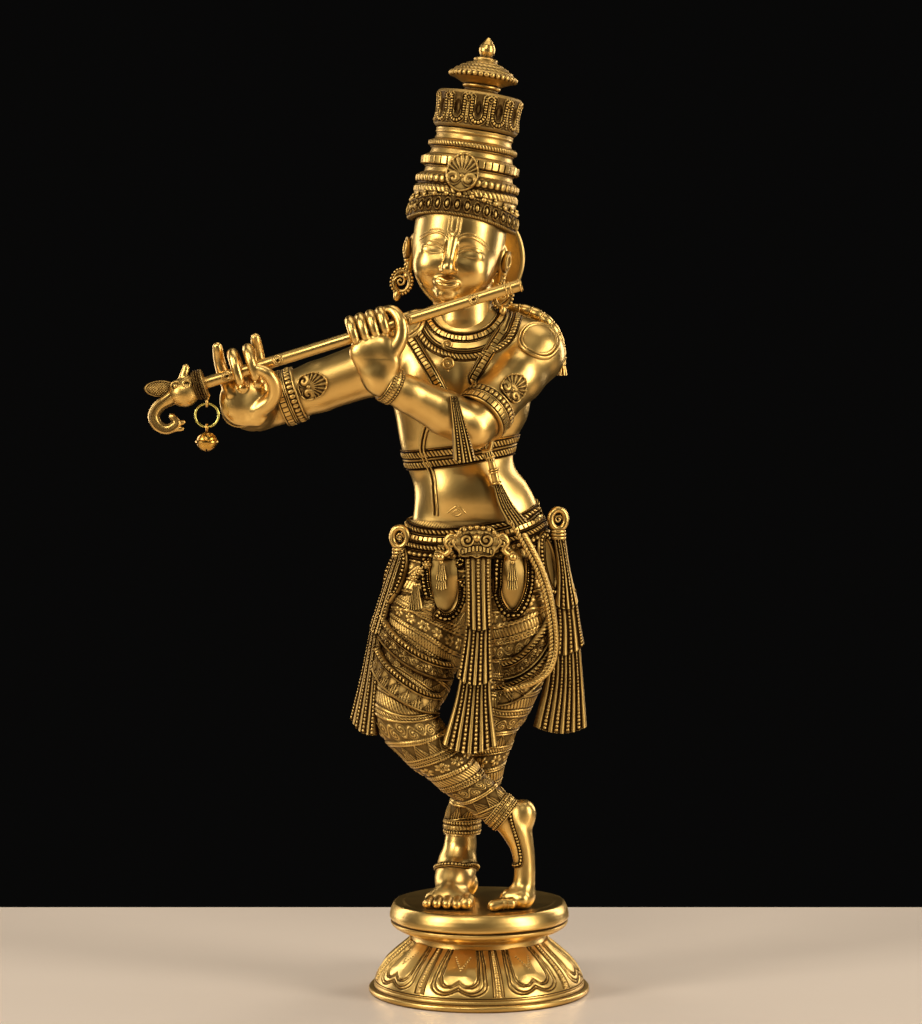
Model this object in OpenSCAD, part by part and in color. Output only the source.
// Cast brass figure of a flute player standing cross-legged on a lotus pedestal.
// Millimetres. +Z up, the figure faces -Y, origin at the middle of the pedestal's underside.

/* [Overall] */
// Height of the figure, from the top of the pedestal to the tip of the crown
figure_h = 690; // [550:5:850]

/* [Pedestal] */
// Diameter over the bowl's rim
bowl_d = 176; // [160:2:230]
// Height of the bowl, from the table to the deck that carries the plate
bowl_h = 42; // [34:1:60]
// Wall of the bowl casting
bowl_wall = 4; // [3:0.5:7]
// Thickness of the deck inside the bowl's top
deck_t = 5; // [4:0.5:8]
// Diameter of the plate that the feet stand on, over its edge roll
plate_d = 144; // [130:2:180]
// Thickness of the plate with its edge roll
plate_t = 23; // [16:1:30]
// Diameter of the neck under the plate
neck_d = 108; // [100:2:116]
// Height of the neck between the bowl and the plate
neck_h = 7; // [4:1:14]

/* [Foot fixings] */
// Diameter of the two studs that hold the feet
stud_d = 6; // [5:0.5:8]
// Depth of each stud in its foot
stud_in_foot = 13; // [8:1:14]
// Width across the flats of a stud nut
nut_w = 10; // [8:0.5:13]
// Thickness of a stud nut
nut_t = 5; // [3:0.5:7]
// Thickness of a stud washer
washer_t = 1.2; // [0.8:0.1:2]
// Radial clearance round a stud in the plate and deck
stud_gap = 0.4; // [0.2:0.1:0.8]

/* [Castings] */
// Wall of the hollow body castings
casting_wall = 6; // [4:0.5:8]
// Diameter of the spigot between the neck and the torso
spigot_d = 26; // [20:1:32]
// Length of that spigot
spigot_l = 16; // [10:1:22]
// Radial gap round spigots and seats, filled by braze
braze_gap = 0.1; // [0.05:0.05:0.3]

/* [Flute] */
// Outer diameter of the flute tube
flute_d = 9.2; // [7.5:0.1:10.5]
// Bore of the flute tube
flute_bore = 6; // [4:0.1:7]
// Length of the tube, from the collar to its open end
flute_l = 256; // [235:1:275]
// Radial clearance between the flute and the hands
grip_gap = 0.25; // [0.15:0.05:0.4]
// Diameter of a finger hole
finger_hole_d = 2.2; // [1.5:0.1:3]

/* [Ring and bell] */
// Diameter of the ring, at the middle of its wire
ring_d = 18; // [16:0.5:22]
// Diameter of the ring's wire
ring_wire = 1.7; // [1.2:0.1:2]
// Inside diameter of the eye under the collar, and of the bell's loop
eye_bore = 3.8; // [3.4:0.1:4.4]
// Wire diameter of the eye and of the bell's loop
eye_wire = 2; // [1.6:0.1:2.4]
// Diameter of the bell at its seam
bell_d = 18; // [15:0.5:20]
// Sheet thickness of the bell
bell_wall = 0.8; // [0.6:0.1:1.2]
// Diameter of the pellet in the bell
pellet_d = 5; // [4:0.5:6]

/* [Hidden] */
$fn = 48;
BRASS = "#c79a3a";
BRIGHT = "#e0b654";
STEEL = "#8e9094";

// ---- places -------------------------------------------------------------------------------
plate_top = bowl_h + neck_h + plate_t;
s = figure_h / 690;                       // body sizes and places follow the figure's height
function at(x, y, z) = [x * s, y * s, plate_top + z * s];

hip_seam = 246;                           // height of the seam between pelvis and legs
waist_seam = 304;                         // height of the seam between pelvis and torso
head_tilt = 8.4;
head_turn = -7;
head_at = at(-17, -6, 520);
shoulder_right = at(-50, 0, 438);
elbow_right = at(-177, 8, 394);
wrist_right = at(-188, -60, 394);
shoulder_left = at(45, -4, 436);
elbow_left = at(-6, -57, 380);
wrist_left = at(-76, -84, 416);
arm_r = 20 * s;
wrist_r = 12.5 * s;
armlet_share = 0.8;                       // how far down the upper arm the armlets sit
flute_pitch = 17.3;
flute_at = at(-212, -85, 414);            // middle of the collar, at the tube's end
flute_dir = [cos(flute_pitch), 0, sin(flute_pitch)];
grip_right = 31 * s;                      // where each hand holds the flute, along it
grip_left = 134 * s;
finger_r = 3.7 * s;
flute_r = flute_d / 2;
stud_at = [at(-20, -8, 0), at(24, -36, 0)];

// ---- shapes -------------------------------------------------------------------------------
function unit(v) = v / norm(v);
function mix(a, b, t) = a + (b - a) * t;
// Points of an ellipse round p, with half-axes along the unit vectors a and b
function ellipse(p, a, b, ra, rb, n) =
  [for (i = [0 : n - 1]) p + ra * cos(360 * i / n) * a + rb * sin(360 * i / n) * b];
// Level rings from stations [x, y, z, rx, ry] given in the figure's own places
function level_rings(stations, n) =
  [for (c = stations) ellipse(at(c[0], c[1], c[2]), [1, 0, 0], [0, 1, 0], c[3] * s, c[4] * s, n)];
// Rings square to a path: stations [point, half-width along side, half-width across it]
function path_rings(stations, side, n) =
  [for (i = [0 : len(stations) - 1])
    let (t = unit(stations[min(i + 1, len(stations) - 1)][0] - stations[max(i - 1, 0)][0]),
         a = unit(side - (side * t) * t))
    ellipse(stations[i][0], a, cross(t, a), stations[i][1], stations[i][2], n)];
// Four-cornered rings: stations [left, right], given a thickness along the vector thick
function strip_rings(stations, thick) =
  [for (c = stations) [c[0], c[0] + thick, c[1] + thick, c[1]]];

// A closed solid through rings of equal length; closed joins the last ring to the first
module skin(rings, closed = false) {
  n = len(rings[0]);
  m = len(rings);
  last = closed ? m - 1 : m - 2;
  sides = [for (j = [0 : last], i = [0 : n - 1])
    let (k = (j + 1) % m, h = (i + 1) % n) each [
      [k * n + i, k * n + h, j * n + h], [k * n + i, j * n + h, j * n + i]]];
  caps = closed ? [] : [[for (i = [0 : n - 1]) i], [for (i = [n - 1 : -1 : 0]) (m - 1) * n + i]];
  polyhedron([for (r = rings) each r], concat(caps, sides));
}
// A band on an elliptical path: it sags by drop in front, rises by rise behind and by slant to the left
module hoop(c, rx, ry, drop, wide, thick, n = 32, slant = 0, rise = 0) {
  rings = [for (i = [0 : n - 1])
    let (a = 360 * i / n, out = [cos(a), sin(a), 0],
         lift = (sin(a) < 0 ? drop : rise) * sin(a) + slant * cos(a),
         p = at(c[0] + rx * cos(a), c[1] + ry * sin(a), c[2] + lift))
    ellipse(p, out, [0, 0, 1], thick * s, wide * s, 6)];
  skin([for (i = [n - 1 : -1 : 0]) rings[i]], true);
}
module toward(p, dir) {
  translate(p) rotate([0, acos(dir[2]), atan2(dir[1], dir[0])]) children();
}
module cuff(p, dir, inner_r, outer_r, h) {
  toward(p, dir) translate([0, 0, -h / 2]) rotate_extrude()
    translate([inner_r, 0]) polygon([
      [0, 0], [(outer_r - inner_r) * 0.6, 0], [outer_r - inner_r, h * 0.2],
      [(outer_r - inner_r) * 0.7, h * 0.5], [outer_r - inner_r, h * 0.8],
      [(outer_r - inner_r) * 0.6, h], [0, h]]);
}
module ball(p, r) { translate(p) sphere(r, $fn = 16); }
module in_head() {
  translate(head_at) rotate([0, head_tilt, 0]) rotate([0, 0, head_turn]) scale(s) children();
}
module on_flute(u = 0) {
  translate(flute_at) rotate([0, -flute_pitch, 0]) translate([u, 0, 0]) children();
}
module cut_below(z) { translate([-500, -500, z - 500]) cube([1000, 1000, 500]); }

// ---- pedestal -----------------------------------------------------------------------------
bowl_r = bowl_d / 2;
neck_r = neck_d / 2;
rim_t = 5;
rim_out = 4;
bowl_spread = 2.4;
// The bowl's outer curve: a bell that spreads from the neck down to the rim
function bowl_curve(off, n = 14) = [for (i = [0 : n])
  let (a = 90 * i / n, r0 = bowl_r - rim_out, top = neck_r + 1)
  [top + (r0 - top) * pow(cos(a), bowl_spread) - off * cos(a / 2), rim_t + (bowl_h - rim_t) * sin(a)
   - off * sin(a)]];
module base_bowl() color(BRASS) difference() {
  rotate_extrude($fn = 96) polygon(concat(
    [[bowl_r - rim_out - bowl_wall, 0], [bowl_r - 1, 0], [bowl_r, 2], [bowl_r, rim_t - 1]],
    bowl_curve(0), [[0, bowl_h], [0, bowl_h - deck_t]],
    [for (i = [14 : -1 : 0]) let (p = bowl_curve(bowl_wall)[i]) [p[0], min(p[1], bowl_h - deck_t)]]));
  stud_holes();
}
module stud_holes() for (p = stud_at)
  translate([p[0], p[1], 0]) cylinder(h = plate_top, r = stud_d / 2 + stud_gap);
module base_plate() color(BRASS) difference() {
  r = plate_d / 2;
  t = plate_t;
  z0 = bowl_h + neck_h;
  rotate_extrude($fn = 96) polygon(concat(
    [[0, bowl_h], [neck_r, bowl_h], [neck_r - 1.5, bowl_h + neck_h / 2]],
    [for (a = [0 : 15 : 90]) [mix(neck_r + 1, r - 1, sin(a)), z0 + 0.26 * t * (1 - cos(a))]],
    [for (c = [[2.4, 0.29], [0.9, 0.33], [0, 0.43], [0.4, 0.56], [1.8, 0.73], [4, 0.88], [6.5, 0.97], [8.5, 1]])
      [r - c[0], z0 + c[1] * t]],
    [[0, z0 + t]]));
  stud_holes();
}
module foot_studs() color(STEEL) for (p = stud_at)
  translate([p[0], p[1], bowl_h - deck_t - washer_t - nut_t - 2])
    cylinder(h = neck_h + plate_t + deck_t + washer_t + nut_t + 2 + stud_in_foot, r = stud_d / 2);
module foot_washers() color(STEEL) for (p = stud_at)
  translate([p[0], p[1], bowl_h - deck_t - washer_t]) difference() {
    cylinder(h = washer_t, r = nut_w * 0.55);
    translate([0, 0, -1]) cylinder(h = washer_t + 2, r = stud_d / 2 + 0.2);
  }
module foot_nuts() color(STEEL) for (p = stud_at)
  translate([p[0], p[1], bowl_h - deck_t - washer_t - nut_t]) difference() {
    cylinder(h = nut_t, r = nut_w / 2 / cos(30), $fn = 6);
    translate([0, 0, -1]) cylinder(h = nut_t + 2, r = stud_d / 2 + 0.05);
  }
module stud_taps() for (p = stud_at)
  translate([p[0], p[1], plate_top - 1]) cylinder(h = stud_in_foot + 2, r = stud_d / 2 + 0.05);

// ---- legs ---------------------------------------------------------------------------------
ankle_standing = at(-13.5, 10, 58);
ankle_crossing = at(13, -32, 79);
shin_crossing_dir = unit(at(13, -32, 79) - at(-3, -31, 92));
ankle_r = 12.5 * s;
leg_standing_path = [
  [at(30, 2, hip_seam), 30.5, 34], [at(31, 2, 205), 27, 31], [at(28, 2, 178), 23.5, 26],
  [at(21, 1, 158), 20.5, 23], [at(13, 2, 142), 19, 21], [at(7, 4, 125), 18.5, 19.5],
  [at(1, 6, 100), 17, 18], [at(-8, 8, 76), 15, 15.5], [ankle_standing + [0, 0, 6 * s], 14, 14]];
leg_crossing_path = [
  [at(-38, -4, hip_seam), 35, 36], [at(-45, -7, 214), 35, 34], [at(-52, -12, 184), 32, 31],
  [at(-57, -20, 164), 28, 28], [at(-56, -26, 148), 25, 25], [at(-46, -30, 133), 22, 22],
  [at(-26, -31, 113), 18.5, 18.5], [at(-3, -31, 92), 15.5, 15.5], [ankle_crossing, 14, 14]];
// Rings square to the path, from the ankle up, with the first and last turned level where asked
function limb_rings(path, gap, level_foot) = let (
    m = len(path) - 1,
    up = [for (i = [m : -1 : 0]) [path[i][0], path[i][1] * s + gap, path[i][2] * s + gap]],
    rings = path_rings(up, [1, 0, 0], 20))
  [for (i = [0 : m]) i == m || (i == 0 && level_foot)
    ? ellipse(up[i][0], [1, 0, 0], [0, 1, 0], up[i][1], up[i][2], 20) : rings[i]];
module leg_standing_body(gap = 0) skin(limb_rings(leg_standing_path, gap, true));
module leg_crossing_body(gap = 0) skin(limb_rings(leg_crossing_path, gap, false));
// A leg casting: up the outside from the ankle, then down the core to just above the knee
module hollow_leg(path, level_foot) {
  outside = limb_rings(path, 0, level_foot);
  core = limb_rings(path, -casting_wall, level_foot);
  skin(concat(outside, [for (i = [len(path) - 1 : -1 : 5]) core[i]]));
}
module leg_standing() color(BRASS) hollow_leg(leg_standing_path, true);
module leg_crossing() color(BRASS) hollow_leg(leg_crossing_path, false);

module cuff_standing() color(BRASS)
  cuff(ankle_standing, [0, 0, 1], ankle_r + braze_gap, ankle_r + 3.5 * s, 11 * s);
module cuff_crossing() color(BRASS)
  cuff(ankle_crossing + shin_crossing_dir * 5.6 * s, shin_crossing_dir,
    ankle_r + braze_gap, ankle_r + 3 * s, 11 * s);

module foot_standing() color(BRIGHT) difference() {
  union() {
    skin(concat(path_rings([[at(-25, -31, 4), 20 * s, 8 * s], [at(-23, -22, 9), 19 * s, 10 * s],
      [at(-20, -6, 16), 16 * s, 14 * s], [at(-17, 5, 28), 14 * s, 15 * s],
      [at(-15, 9, 42), ankle_r, ankle_r]], [1, 0, 0], 20),
      [ellipse(ankle_standing + [0, 0, 6 * s], [1, 0, 0], [0, 1, 0], ankle_r, ankle_r, 20)]));
    hull() {
      ball(at(-11, 18, 9), 11 * s);
      ball(at(-20, -4, 9), 11 * s);
      ball(at(-15, 10, 30), 10 * s);
    }
    for (i = [0 : 4]) hull() {
      ball(at(-38 + 7.2 * i, -27, 5), (i == 4 ? 5 : 4) * s);
      ball(at(-41 + 7.4 * i, -38 - 1.2 * i, 3.6), (i == 4 ? 4.8 : 3.6) * s);
    }
  }
  cut_below(plate_top);
  stud_taps();
}
module foot_crossing() color(BRIGHT) difference() {
  union() {
    skin(path_rings([[ankle_crossing, ankle_r, ankle_r],
      [ankle_crossing + shin_crossing_dir * 11.2 * s, ankle_r, ankle_r],
      [at(32, -32, 58), 12 * s, 11 * s], [at(33, -33, 40), 9.5 * s, 10 * s],
      [at(33, -35, 22), 11 * s, 13 * s], [at(30, -36, 10), 14 * s, 15 * s],
      [at(24, -38, 3), 13 * s, 14 * s]], [0, -1, 0], 18));
    hull() {
      ball(at(30, -32, 66), 10 * s);
      ball(at(42, -30, 73), 8.5 * s);
    }
    for (i = [0 : 3]) hull() {
      ball(at(24, -45 + 5.6 * i, 5), 4.6 * s);
      ball(at(12 + i, -46 + 5.4 * i, 3.8), 3.6 * s);
    }
  }
  cut_below(plate_top);
  stud_taps();
}
module anklet_standing() color(BRIGHT)
  skin(path_rings([for (a = [0 : 30 : 330])
    [at(-20 + 20 * cos(a), 1 + 22 * sin(a), 26 - 7 * sin(a)), 2.6 * s, 2.6 * s]], [0, 0, 1], 8), true);
module anklet_crossing() color(BRIGHT)
  skin(path_rings([for (a = [0 : 30 : 330])
    [at(28 - 13 * sin(a), -33 + 15.5 * cos(a), 54 + 17 * sin(a)), 2.4 * s, 2.4 * s]], [1, 0, 0], 8), true);

// ---- trunk --------------------------------------------------------------------------------
// Hollow castings: rings run down the core first and then up the outside
function cored(stations, floor_cut, top_cut) = concat(
  [for (i = [len(stations) - 1 - top_cut : -1 : floor_cut])
    let (c = stations[i], w = casting_wall / s) [c[0], c[1], c[2], c[3] - w, c[4] - w]],
  stations);
pelvis_shape = [
  [-6, 0, hip_seam, 67, 39], [-6, 0, 262, 66, 40], [-4, 0, 280, 61, 38], [-3, 0, 294, 56, 34],
  [-2, 0, waist_seam, 52.5, 31]];
torso_shape = [
  [-2, 0, waist_seam, 51.5, 30], [-3, 0, 319, 49, 28], [-7, 0, 333, 46, 26.5], [-15, 0, 348, 43, 26],
  [-17, 0, 366, 46, 29], [-14, 0, 386, 53, 32], [-14, 0, 408, 57, 34], [-8, 0, 428, 59, 33],
  [-5, 0, 444, 58, 29], [-7, 0, 456, 47, 25], [-10, 0, 465, 32, 21], [-12, 0, 470, 24, 18]];
neck_root = at(-12, 0, 470);
module pelvis() color(BRASS) skin(level_rings(cored(pelvis_shape, 0, 1), 24));
module torso() color(BRIGHT) difference() {
  skin(level_rings(cored(torso_shape, 0, 4), 24));
  translate(neck_root - [0, 0, spigot_l]) cylinder(h = spigot_l * 3, r = spigot_d / 2 + braze_gap);
  arm_seat(shoulder_right, elbow_right);
  arm_seat(shoulder_left, elbow_left);
  armlet_room(shoulder_left, elbow_left);
}
// Flat-bottomed socket for the top of an arm
module arm_seat(from, to) toward(from, unit(to - from)) cylinder(h = 90 * s, r = 22.5 * s + braze_gap);
// Room for the armlet, from just above it to past the elbow
module armlet_room(a, b, past = 60) toward(mix(a, b, armlet_share) - unit(b - a) * 9 * s, unit(b - a))
  cylinder(h = past * s, r = arm_r + 4.2 * s);
// The trunk's outside, grown by the gap that braze fills, for whatever is bedded on it
module trunk_outside() for (shape = [pelvis_shape, torso_shape])
  skin([for (c = shape) ellipse(at(c[0], c[1], c[2]), [1, 0, 0], [0, 1, 0],
    c[3] * s + braze_gap, c[4] * s + braze_gap, 24)]);

// ---- head and crown -----------------------------------------------------------------------
module head() color(BRIGHT) union() {
  difference() {
    union() {
      in_head() skin([for (c = [[-42, -10, 12, 14], [-34, -8, 22, 26], [-20, -4, 31, 36],
        [-4, 0, 35.5, 40], [14, 0, 36.5, 41], [27, 0, 35, 39]])
        ellipse([0, c[1], c[0]], [1, 0, 0], [0, 1, 0], c[2], c[3], 24)]);
      skin([for (c = [[neck_root, 23], [at(-14, -1, 484), 20.5], [at(-16, -3, 500), 20.5]])
        ellipse(c[0], [1, 0, 0], [0, 1, 0], c[1] * s, c[1] * s, 20)]);
    }
    in_head() translate([0, 2, -12]) cylinder(h = 40, r = 21);
  }
  translate(neck_root - [0, 0, spigot_l - 1]) cylinder(h = spigot_l, r = spigot_d / 2);
}
// Stacked mouldings of the crown, as [radius, height] along its axis from the head's middle
tier_profile = concat([[36, 27], [41, 30], [41.5, 38]],
  [for (k = [0 : 4]) let (r = 40 - 2.4 * k, z = 42 + 10.4 * k)
    each [[r, z], [r + 1.6, z + 2], [r + 1.4, z + 4.6], [r - 2.2, z + 6.4], [r - 2.6, z + 9.6]]],
  [[28, 94]]);
module crown_tiers() color(BRASS) in_head() rotate_extrude($fn = 72)
  polygon(concat([[36 - casting_wall - 4, 27]], tier_profile, [[0, 94], [0, 86], [16, 86], [22, 60]]));
module diadem() color(BRASS) in_head() difference() {
  rotate_extrude($fn = 72) polygon([[41.6, 24], [44.5, 25], [45.5, 32], [44, 40], [41.6, 41]]);
  translate([-60, 24, 20]) cube([120, 40, 30]);
}
module crown_drum() color(BRASS) in_head() difference() {
  rotate_extrude($fn = 72) polygon([[0, 94], [29, 94], [33.5, 96], [34, 100], [33, 109], [34.5, 119],
    [34, 122], [30, 124], [0, 124]]);
  translate([0, 0, 119]) cylinder(h = 6, r = 9 + braze_gap);
}
module crown_finial() color(BRASS) in_head() rotate_extrude($fn = 72)
  polygon([[0, 119], [9, 119], [9, 124], [16, 124], [16, 126.5], [13.5, 128], [15, 132], [26.5, 137],
    [26.5, 140.5], [17, 147], [8, 151.5], [6, 154], [4.6, 155.5], [6.6, 160], [6.2, 164], [2.5, 169],
    [0, 171]]);
module crown_crest() color(BRASS) in_head() translate([0, -40.5, 58]) rotate([82, 0, 0]) scale([0.85, 1, 1])
  rotate_extrude($fn = 48) polygon([[0, -2], [17, -1.6], [17.6, 0], [16, 1.8], [0, 3]]);
module halo_disc() color(BRASS) in_head() translate([4, 46.8, -4]) rotate([90, 0, 0]) union() {
  rotate_extrude($fn = 72) polygon([[0, 0], [44, 0], [46, 1.5], [46, 3.5], [44, 4.5], [38, 3.5], [0, 3.5]]);
  cylinder(h = 6, r = 9);
}
module earring(side) in_head() {
  translate([side * 38.5, 4, 2]) skin(path_rings([[[0, 0, 9], 2.5, 5], [[side * 1.5, 0, 2], 4, 7],
    [[side * 1.5, 0, -10], 3.2, 6], [[side * 1, -1, -20], 2.4, 3]], [1, 0, 0], 12));
  translate([side * 41, 2, -34]) rotate([0, 0, side * 25]) rotate([90, 0, 0]) rotate_extrude($fn = 36)
    translate([8, 0]) circle(3, $fn = 20);
}
module earring_left() color(BRASS) earring(-1);
module earring_right() color(BRASS) earring(1);
module hair_locks() color(BRASS) for (side = [-1, 1])
  skin(path_rings([for (k = [0 : 6])
    let (t = k / 6, p = at(-7 + side * (30 + 44 * sin(90 * t)), 29 - 4 * t, 472 + 2 * side - 46 * t * t))
    [p, (3 + 3.4 * sin(180 * t)) * s, (3 + 3 * sin(180 * t)) * s]], [0, 1, 0], 10));
// An oval plate that lies on the top of an arm, with its face turned to look
module shoulder_plate(shoulder, elbow, look) {
  dir = unit(elbow - shoulder);
  out = unit(look - (look * dir) * dir);
  foot = shoulder + out * (shoulder_r + braze_gap) + dir * 2 * s;
  skin([for (c = [[0, 16], [2, 18], [4, 17], [6, 7]])
    ellipse(foot + out * c[0] * s, dir, cross(out, dir), c[1] * s, c[1] * s * 0.85, 24)]);
}
module shoulder_plates() color(BRASS) {
  shoulder_plate(shoulder_right, elbow_right, [-0.4, -0.5, 1]);
  shoulder_plate(shoulder_left, elbow_left, [0.1, -0.8, 0.5]);
}

// ---- arms ---------------------------------------------------------------------------------
shoulder_r = 22 * s;
// An upper arm from its seat in the torso to the round of its elbow, grown by gap
module upper_arm(a, b, elbow_r, gap = 0) {
  dir = unit(b - a);
  arm = [for (c = [[0, shoulder_r], [0.15, shoulder_r], [0.4, arm_r], [0.6, arm_r], [0.9, arm_r]])
    [mix(a, b, c[0]), c[1] + gap, c[1] + gap]];
  elbow = [for (k = [0, 30, 55, 75]) let (r = elbow_r + gap) [b + dir * r * sin(k), r * cos(k), r * cos(k)]];
  skin(path_rings(concat(arm, elbow), [0, 1, 0], 20));
}
elbow_r_right = 19 * s;
elbow_r_left = 18 * s;
module upper_arm_right() color(BRIGHT) upper_arm(shoulder_right, elbow_right, elbow_r_right);
module upper_arm_left() color(BRIGHT) upper_arm(shoulder_left, elbow_left, elbow_r_left);
// The forearm begins outside the elbow and ends inside the bracelet
module forearm(shoulder, a, b, elbow_r) difference() {
  dir = unit(b - a);
  skin(path_rings([[a + dir * elbow_r * 0.3, elbow_r * 0.9, elbow_r * 0.9],
    [mix(a, b, 0.45), elbow_r * 0.92, elbow_r * 0.92], [mix(a, b, 0.8), wrist_r, wrist_r],
    [b, wrist_r, wrist_r]], [0, 0, 1], 20));
  upper_arm(shoulder, a, elbow_r, braze_gap);
  armlet_room(shoulder, a, 18);
}
module forearm_right() color(BRIGHT) forearm(shoulder_right, elbow_right, wrist_right, elbow_r_right);
module forearm_left() color(BRIGHT) forearm(shoulder_left, elbow_left, wrist_left, elbow_r_left);
module armlet(a, b) cuff(mix(a, b, armlet_share), unit(b - a), arm_r + braze_gap, arm_r + 4 * s, 17 * s);
module armlet_right() color(BRASS) armlet(shoulder_right, elbow_right);
module armlet_left() color(BRASS) armlet(shoulder_left, elbow_left);
// A leaf-shaped plaque that stands up the arm from its armlet, curved to the arm
module armlet_leaf(a, b, face) {
  dir = unit(b - a);
  out = unit(face - (face * dir) * dir);
  across = cross(dir, out);
  skin([for (k = [0 : 8]) let (t = k / 8, w = (t < 1 ? 11.5 * sqrt(sin(20 + 158 * t)) : 1) * s,
      c = mix(a, b, armlet_share) - dir * (9 + 22 * t) * s)
    [for (j = [0 : 5]) let (ang = (j - 2.5) / 2.5 * w / arm_r * 57.3)
       c + (arm_r + 0.2) * (cos(ang) * out + sin(ang) * across),
     for (j = [5 : -1 : 0]) let (ang = (j - 2.5) / 2.5 * w / arm_r * 57.3)
       c + (arm_r + 2.4 * s) * (cos(ang) * out + sin(ang) * across)]]);
}
module armlet_leaves() color(BRASS) {
  armlet_leaf(shoulder_right, elbow_right, [0, -1, 0.1]);
  armlet_leaf(shoulder_left, elbow_left, [0.5, -1, 0.2]);
}
module armlet_tassel() color(BRASS)
  skin(strip_rings([[at(-23, -81, 402), at(-17, -80, 402)], [at(-20, -84, 380), at(-9, -82, 380)],
    [at(-19, -83, 356), at(-4, -80, 356)]], [0, 5 * s, 0]));
module bracelet(a, b) cuff(mix(a, b, 0.9), unit(b - a), wrist_r + braze_gap, wrist_r + 3 * s, 9 * s);
module bracelet_right() color(BRASS) bracelet(elbow_right, wrist_right);
module bracelet_left() color(BRASS) bracelet(elbow_left, wrist_left);

// ---- hands --------------------------------------------------------------------------------
channel_r = flute_r + grip_gap;
hook_r = channel_r + finger_r;
// A finger bent round the flute from angle a0 to a1: 0 is below it, 90 behind, 180 above and 270 in front
module hook(u, a0, a1, r = finger_r) skin(path_rings([for (k = [-1 : 9])
  let (a = k < 0 ? a0 - 14 : k > 8 ? a1 + 14 : mix(a0, a1, k / 8), q = k < 0 || k > 8 ? 0.45 * r : r)
  [by_flute(u, 0, 0) + hook_r * ([0, 1, 0] * sin(a) - flute_up * cos(a)), q, q]], flute_dir, 10));
flute_up = [-flute_dir[2], 0, flute_dir[0]];
function by_flute(u, y, w) = flute_at + u * flute_dir + [0, y * s, 0] + w * s * flute_up;
module channel() on_flute(-60 * s) rotate([0, 90, 0]) cylinder(h = flute_l + 120 * s, r = channel_r);
module hand_left() color(BRIGHT) difference() {
  union() {
    hull() {
      ball(wrist_left, wrist_r);
      ball(by_flute(grip_left - 12 * s, -9, -9), 7 * s);
      ball(by_flute(grip_left + 13 * s, -9, -9), 7 * s);
      ball(by_flute(grip_left + 3 * s, -8, -26), 12 * s);
    }
    for (i = [0 : 3]) hook(grip_left + (-14 + 8.6 * i) * s, 95, 300);
    hull() {
      ball(by_flute(grip_left + 12 * s, -6, -18), 6 * s);
      ball(by_flute(grip_left + 20 * s, 6, -9), 4 * s);
    }
  }
  channel();
  forearm_end(elbow_left, wrist_left);
}
module hand_right() color(BRIGHT) difference() {
  union() {
    hull() {
      ball(wrist_right, wrist_r);
      ball(by_flute(grip_right - 12 * s, 9, -6), 6.5 * s);
      ball(by_flute(grip_right + 14 * s, 9, -6), 6.5 * s);
    }
    for (i = [0, 1]) hook(grip_right + (-3 + 8.4 * i) * s, 60, 285);
    for (i = [-1, 1]) hull() {
      ball(by_flute(grip_right + (2 + 13 * i) * s, 10, -2), 4.2 * s);
      ball(by_flute(grip_right + (3 + 14 * i) * s, 7, 21), 3 * s);
    }
    hull() {
      ball(by_flute(grip_right + 16 * s, 6, -12), 6 * s);
      ball(by_flute(grip_right + 20 * s, -8, -7), 3.8 * s);
    }
  }
  channel();
  forearm_end(elbow_right, wrist_right);
}
// The hand stops flat against the end of the forearm
module forearm_end(a, b) toward(b - unit(b - a) * 40 * s, unit(b - a)) cylinder(h = 40 * s, r = 20 * s);

// ---- ornaments on the trunk ---------------------------------------------------------------
module bedded() difference() {
  children();
  trunk_outside();
}
module necklace_choker() color(BRASS) difference() {
  bedded() hoop([-12, -4, 466], 28, 26, 15, 4, 3.4, 32, 0, 2);
  translate(at(-12, 0, 440)) cylinder(h = 60 * s, r = 23.2 * s);
}
module necklace_long() color(BRASS) bedded() hoop([-11, -4, 461], 38, 29.5, 24, 3.4, 4, 32, 0, 4);
module chest_band() color(BRASS) bedded() hoop([-17, 0, 358], 46, 28.6, 2, 8.5, 3, 32, 7, 2);
module chest_straps() color(BRASS) difference() {
  bedded() shoulder_straps();
  armlet_room(shoulder_left, elbow_left);
}
module shoulder_straps() for (side = [-1, 1])
  skin(path_rings([for (t = [0 : 0.125 : 1])
    let (out = 4 + 34 * pow(1 - t, 1.3), y = -19 - 16.5 * sin(90 * min(1, t * 1.8)))
    [at(-20 + side * out, y, 455 - 62 * t), 3.4 * s, 2.4 * s]], [1, 0, 0], 8));
module chest_sash() color(BRASS)
  skin(strip_rings([[at(4, -32, 376), at(12, -31, 376)], [at(7, -33, 350), at(15, -32, 350)],
    [at(12, -34, 322), at(22, -32, 322)], [at(20, -38, 304), at(36, -35, 306)]], [0, 4 * s, 0]));
module girdle() color(BRASS) bedded() hoop([-3, 0, 300], 54.5, 34, 12, 13.5, 5, 36, 8, 4);
module girdle_buckle() color(BRASS) translate(at(-2, -41.5, 290)) scale(s) rotate([90, 0, 0]) union() {
  scale([1.5, 1, 1]) cylinder(h = 6, r = 14, center = true);
  for (side = [-1, 1]) translate([side * 20, -9, 0]) cylinder(h = 5, r = 6, center = true);
}
module pleats_upper() color(BRASS)
  skin(strip_rings([[at(-12, -44, 276), at(9, -44, 276)], [at(-12, -48, 246), at(9, -48, 246)],
    [at(-12, -51, 222), at(9, -51, 222)], [at(-18, -53, 186), at(9, -53, 182)]], [0, 6 * s, 0]));
module pleats_lower() color(BRASS)
  skin(strip_rings([[at(-13, -46, 192), at(6, -46, 192)], [at(-18, -48, 165), at(9, -48, 165)],
    [at(-28, -52, 134), at(13, -52, 128)]], [0, 6 * s, 0]));
module knot(p) translate(p) rotate([90, 0, 0]) rotate_extrude($fn = 32)
  translate([6 * s, 0]) circle(3.4 * s, $fn = 16);
module side_sash_left() color(BRASS) difference() {
  side_sash_left_cloth();
  leg_crossing_body(braze_gap);
  trunk_outside();
}
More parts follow.
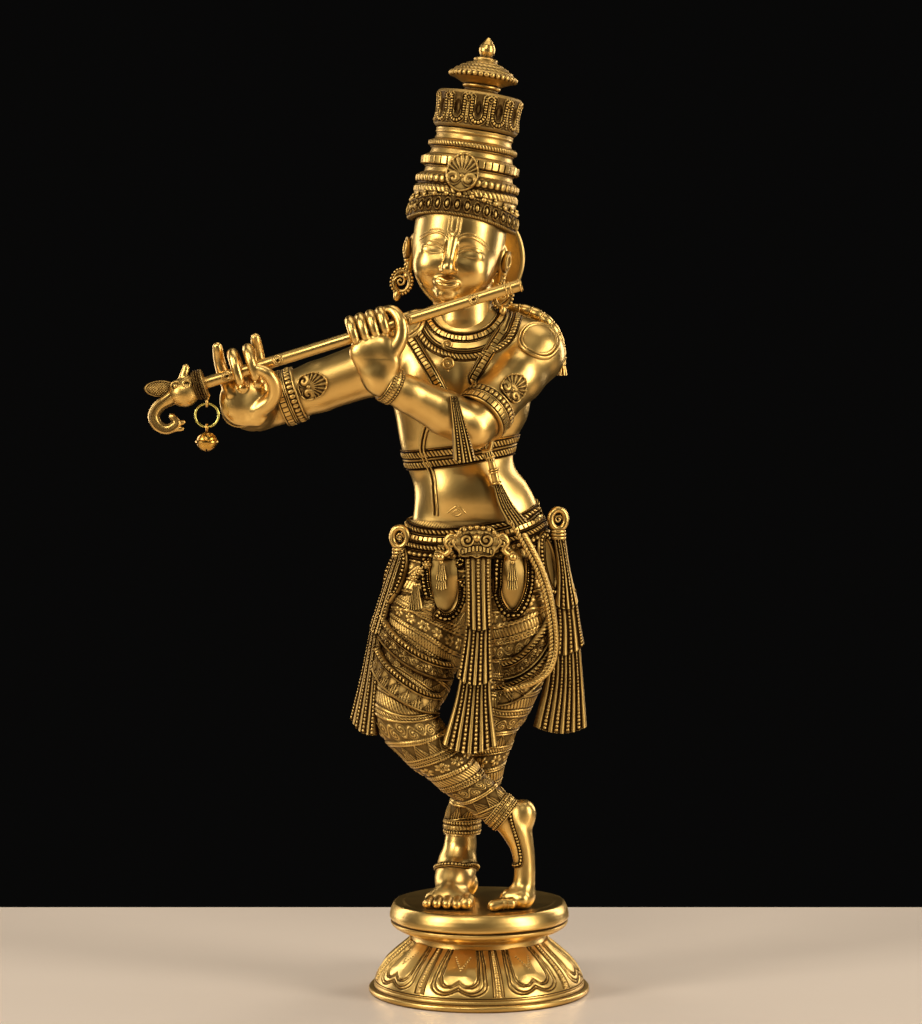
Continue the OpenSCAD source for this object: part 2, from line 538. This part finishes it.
module side_sash_left_cloth() {
  knot(at(-64, -14, 290));
  skin(strip_rings([[at(-66, -14, 288), at(-57, -20, 288)], [at(-78, -14, 250), at(-70, -22, 250)],
    [at(-85, -10, 222), at(-79, -20, 220)]], [0, 6 * s, 0]));
  skin(strip_rings([[at(-87, -8, 226), at(-80, -18, 226)], [at(-93, -8, 180), at(-82, -24, 176)],
    [at(-102, -10, 148), at(-82, -30, 136)]], [2 * s, 6 * s, 0]));
}
module side_sash_right() color(BRASS) {
  knot(at(62, -7, 304));
  for (tier = [[[61, 297], [64, 70, 262], [62, 76, 240]], [[60, 246], [60, 78, 220], [58, 81, 204]],
      [[60, 212], [56, 80, 175], [44, 84, 140]]])
    skin(strip_rings([[at(tier[0][0], -9, tier[0][1]), at(tier[0][0] + 9, -5, tier[0][1])],
      [at(tier[1][0], -12, tier[1][2]), at(tier[1][1], -6, tier[1][2])],
      [at(tier[2][0], -14, tier[2][2]), at(tier[2][1], -6, tier[2][2])]], [0, 6 * s, 0]));
}
// The axis and radii of a leg at height z, looked up along its path
function leg_axis(path, z, k) =
  lookup(z, [for (i = [len(path) - 1 : -1 : 0]) [path[i][0][2], path[i][0][k]]]);
function leg_radius(path, z, k) =
  lookup(z, [for (i = [len(path) - 1 : -1 : 0]) [path[i][0][2], path[i][k]]]) * s;
// A point off a leg's surface, at angle a round it
function on_leg(path, a, h, off) = let (z = plate_top + h * s)
  [leg_axis(path, z, 0) + (leg_radius(path, z, 1) + off) * cos(a),
   leg_axis(path, z, 1) + (leg_radius(path, z, 2) + off) * sin(a), z];
// Cloth bands hung across each thigh, from angle a0 and height h0 to a1 and h1
module swag(path, a0, a1, h0, h1) skin(path_rings([for (t = [0 : 0.125 : 1])
  [on_leg(path, mix(a0, a1, t), h0 + (h1 - h0) * sin(90 * t), 1.6 * s), 3 * s, 5 * s]], [0, 1, 0], 8));
module thigh_swags() color(BRASS) {
  difference() {
    for (k = [0, 1]) swag(leg_crossing_path, 205, 325, 228 - 25 * k, 182 - 22 * k);
    leg_crossing_body(braze_gap);
  }
  difference() {
    for (k = [0, 1]) swag(leg_standing_path, 335, 250, 238 - 34 * k, 180 - 16 * k);
    leg_standing_body(braze_gap);
    leg_crossing_body(braze_gap);
  }
}
module bead_loops() color(BRASS) bedded() for (c = [[-28, -42], [24.5, -39.5]])
  skin(path_rings([for (a = [180 : 22.5 : 360])
    [at(c[0] + 17 * cos(a), c[1] - 0.2 + 3.4 * pow(cos(a), 2), 262 + 30 * sin(a)), 2.4 * s, 3.2 * s]],
    [0, 1, 0], 8));
garland_path = [at(24, -38, 306), at(36, -36, 285), at(47, -32, 262), at(54, -27, 236), at(57, -22, 205),
  at(52, -24, 186), at(38, -31, 176), at(20, -34, 172)];
module garland() color(BRASS)
  skin(path_rings([for (p = garland_path) [p, 2.6 * s, 4 * s]], [0, 1, 0], 8));

// ---- flute --------------------------------------------------------------------------------
finger_holes = [18, 59, 163, 217];        // along the tube, from the collar
module flute_tube() color(BRIGHT) on_flute() rotate([0, 90, 0]) difference() {
  cylinder(h = flute_l, r = flute_r);
  translate([0, 0, -1]) cylinder(h = flute_l + 2, r = flute_bore / 2);
  for (u = finger_holes) translate([0, 0, u]) rotate([90, 0, 0])
    cylinder(h = flute_r + 1, r = finger_hole_d / 2);
}
collar_r = 12 * s;
plug_r = flute_bore / 2 - 0.05;           // the collar's plug, brazed into the tube's end
plug_l = 8;
eye_r = (eye_bore + eye_wire) / 2;
ring_drop = (eye_bore - ring_wire) / 2 - 0.15;
eye_at = flute_at + [1.5 * s, 0, -collar_r - eye_r];
ring_top = eye_at - [0, 0, ring_drop];
ring_at = ring_top - [0, 0, ring_d / 2];
ring_foot = ring_top - [0, 0, ring_d];
bell_eye = ring_foot - [0, 0, ring_drop];
bell_h = bell_d * 0.42;                   // height of each half of the bell
bell_at = bell_eye - [0, 0, eye_r + bell_h];
module eye(p) translate(p) rotate([0, 90, 0]) rotate_extrude() translate([eye_r, 0]) circle(eye_wire / 2);
module flute_head() color(BRASS) union() {
  on_flute() rotate([0, -90, 0]) rotate_extrude() polygon([[0, -plug_l], [plug_r, -plug_l], [plug_r, 0],
    [flute_r, 0], [collar_r * 0.94, 0], [collar_r, 2 * s], [collar_r * 0.9, 3.5 * s], [collar_r, 5 * s],
    [collar_r * 0.9, 7 * s], [9 * s, 9 * s], [0, 9 * s]]);
  hull() {
    ball(flute_at + [-16, 0, -8] * s, 11 * s);
    ball(flute_at + [-8, 0, -3] * s, 8.5 * s);
  }
  hull() {
    ball(flute_at + [-18, 0, 2] * s, 4 * s);
    ball(flute_at + [-17, 0, 10] * s, 3 * s);
  }
  skin(path_rings([
    [flute_at + [-22, 0, -4] * s, 6 * s, 6 * s], [flute_at + [-30, 0, 0] * s, 4.6 * s, 5 * s],
    [flute_at + [-38, 0, -4] * s, 4.2 * s, 5.4 * s], [flute_at + [-46, 0, -5] * s, 1.5 * s, 1.5 * s]],
    [0, 1, 0], 12));
  skin(path_rings([for (a = [0 : 30 : 240])
    [flute_at + [-28 - 9 * sin(a), 0, -17 + 9 * cos(a)] * s, 4.4 * s, (4.4 - a / 110) * s]],
    [0, 1, 0], 12));
  eye(eye_at);
}
module bell_ring() color("#d9b13c") translate(ring_at) rotate([90, 0, 0])
  rotate_extrude($fn = 64) translate([ring_d / 2, 0]) circle(ring_wire / 2, $fn = 24);

// ---- bell ---------------------------------------------------------------------------------
bell_r = bell_d / 2;
seam_lip = 0.9;
function bell_arc(r, h, a0, a1) =
  [for (i = [0 : 8]) let (a = mix(a0, a1, i / 8)) [r * cos(a), h * sin(a)]];
// Half of the bell's shell with its seam flange; up is 1 for the cap and -1 for the cup
module bell_half(up) rotate_extrude() polygon(concat(
  [[bell_r - seam_lip - bell_wall, 0], [bell_r, 0], [bell_r, up * bell_wall * 0.8]],
  bell_arc(bell_r - seam_lip, bell_h, up * 12, up * 90),
  bell_arc(bell_r - seam_lip - bell_wall, bell_h - bell_wall, up * 90, 0)));
module bell_cap() color("#c9902e") union() {
  translate(bell_at) bell_half(1);
  translate(bell_eye) rotate([0, 90, 0]) rotate_extrude()
    translate([eye_r, 0]) circle(eye_wire / 2 * 0.85);
}
module bell_cup() color("#c9902e") translate(bell_at) difference() {
  bell_half(-1);
  for (a = [0, 90]) rotate([0, 0, a]) translate([0, 0, -bell_h])
    cube([bell_d * 0.62, 1.2, bell_h * 1.4], center = true);
}
pellet_drop = bell_h - bell_wall - pellet_d / 2 - 0.4;
module bell_pellet() color(STEEL) translate(bell_at - [0, 0, pellet_drop * 0.75]) sphere(pellet_d / 2);

base_bowl();
base_plate();
foot_studs();
foot_washers();
foot_nuts();
leg_standing();
leg_crossing();
cuff_standing();
cuff_crossing();
foot_standing();
foot_crossing();
anklet_standing();
anklet_crossing();
pelvis();
torso();
head();
diadem();
crown_tiers();
crown_drum();
crown_finial();
crown_crest();
halo_disc();
earring_left();
earring_right();
hair_locks();
shoulder_plates();
upper_arm_right();
forearm_right();
hand_right();
upper_arm_left();
forearm_left();
hand_left();
armlet_right();
armlet_left();
armlet_leaves();
armlet_tassel();
bracelet_right();
bracelet_left();
necklace_choker();
necklace_long();
chest_band();
chest_straps();
chest_sash();
girdle();
girdle_buckle();
pleats_upper();
pleats_lower();
side_sash_left();
side_sash_right();
thigh_swags();
bead_loops();
garland();
flute_tube();
flute_head();
bell_ring();
bell_cap();
bell_cup();
bell_pellet();
